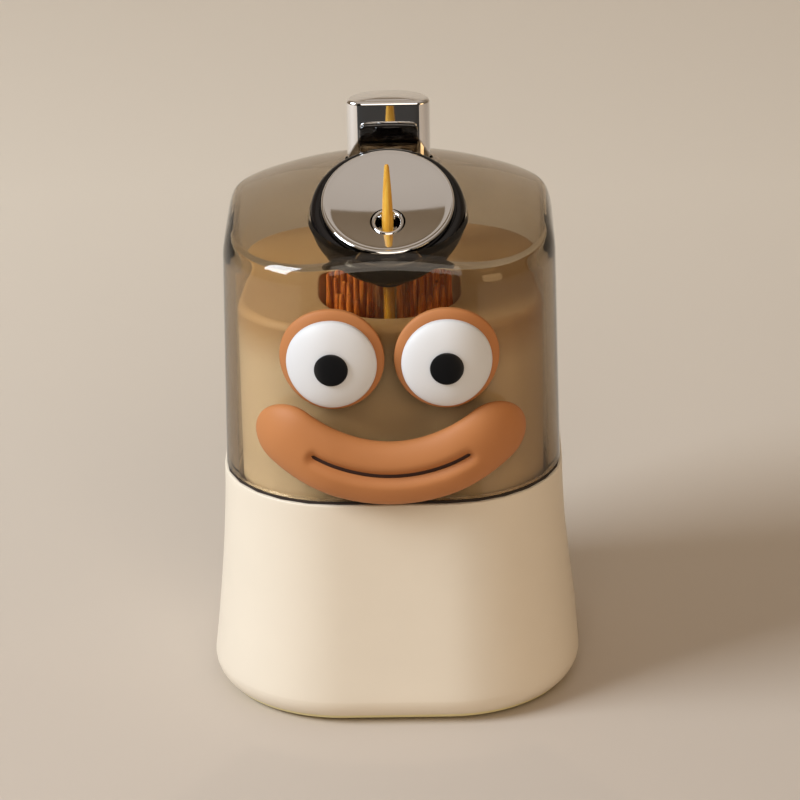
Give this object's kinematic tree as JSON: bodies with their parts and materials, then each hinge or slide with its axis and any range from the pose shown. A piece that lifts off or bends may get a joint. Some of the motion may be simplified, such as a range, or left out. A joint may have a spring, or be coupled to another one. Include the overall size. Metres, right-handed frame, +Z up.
{
  "type": "toothpick dispenser",
  "caption": "Rounded-square toothpick dispenser with a smoked clear cover, slanted mirror dish, press knob and a soft smiling face on its front.",
  "frame": {"origin": "on the table under the middle of the whole object, its front face pieces included", "axes": "+Z up, -Y towards the front with the face and the slanted dish, +X to the right seen from the front"},
  "size_m": [0.0734, 0.0762, 0.1147],
  "materials": {
    "cream_plastic": "fine satin moulded",
    "cup_plastic": "satin moulded",
    "bottom_plastic": "satin moulded",
    "steel": "bright steel",
    "smoked_clear": "polished smoked clear",
    "dark_seal": "soft matte",
    "black_plastic": "polished black",
    "chrome": "mirror chrome plating",
    "clear_plastic": "polished clear",
    "silicone": "soft matte",
    "bamboo": "fine straight grain",
    "orange_brown": "soft matte",
    "dark_brown": "soft matte",
    "eye_white": "soft matte",
    "pupil_black": "satin paint",
    "rubber": "soft matte"
  },
  "bodies": {
    "base": {"base_shell": "cream_plastic", "bottom_cover": "bottom_plastic", "bottom_screw_right": "steel", "bottom_screw_rear": "steel", "bottom_screw_left": "steel", "bottom_screw_front": "steel", "foot_front_left": "rubber", "foot_front_right": "rubber", "foot_rear_left": "rubber", "foot_rear_right": "rubber", "ballast_plate": "steel", "toothpick_cup": "cup_plastic", "well_floor": "cup_plastic", "feed_sleeve": "clear_plastic", "stem_bushing": "black_plastic", "toothpick_bundle": "bamboo", "cover_seal": "dark_seal", "return_spring": "steel"},
    "cover_set": {"cover": "smoked_clear", "dish_body": "black_plastic", "mirror_plate": "chrome", "hole_bush": "chrome", "smile": "orange_brown", "smile_line": "dark_brown", "eye_rim_left": "orange_brown", "eye_rim_right": "orange_brown", "eye_left": "eye_white", "eye_right": "eye_white", "pupil_left": "pupil_black", "pupil_right": "pupil_black"},
    "carriage": {"knob": "chrome", "knob_stem": "steel", "carriage_arm": "black_plastic", "guide_tube": "clear_plastic", "pick_gripper": "silicone", "stem_clip": "steel"},
    "toothpick": {"dispensed_toothpick": "bamboo"}
  },
  "joints": [
    {"name": "knob_press", "type": "slide", "parent": "base", "child": "carriage", "axis": [0, 0, -1], "range_m": [0, 0.008], "stiffness_N_per_m": 150, "springref_m": -0.012, "deforming": ["return_spring"]},
    {"name": "cover_lift", "type": "slide", "parent": "base", "child": "cover_set", "axis": [0, 0, 1], "range_m": [0, 0.075]},
    {"name": "toothpick_draw", "type": "slide", "parent": "carriage", "child": "toothpick", "axis": [0, 0, 1], "range_m": [0, 0.068]}
  ]
}
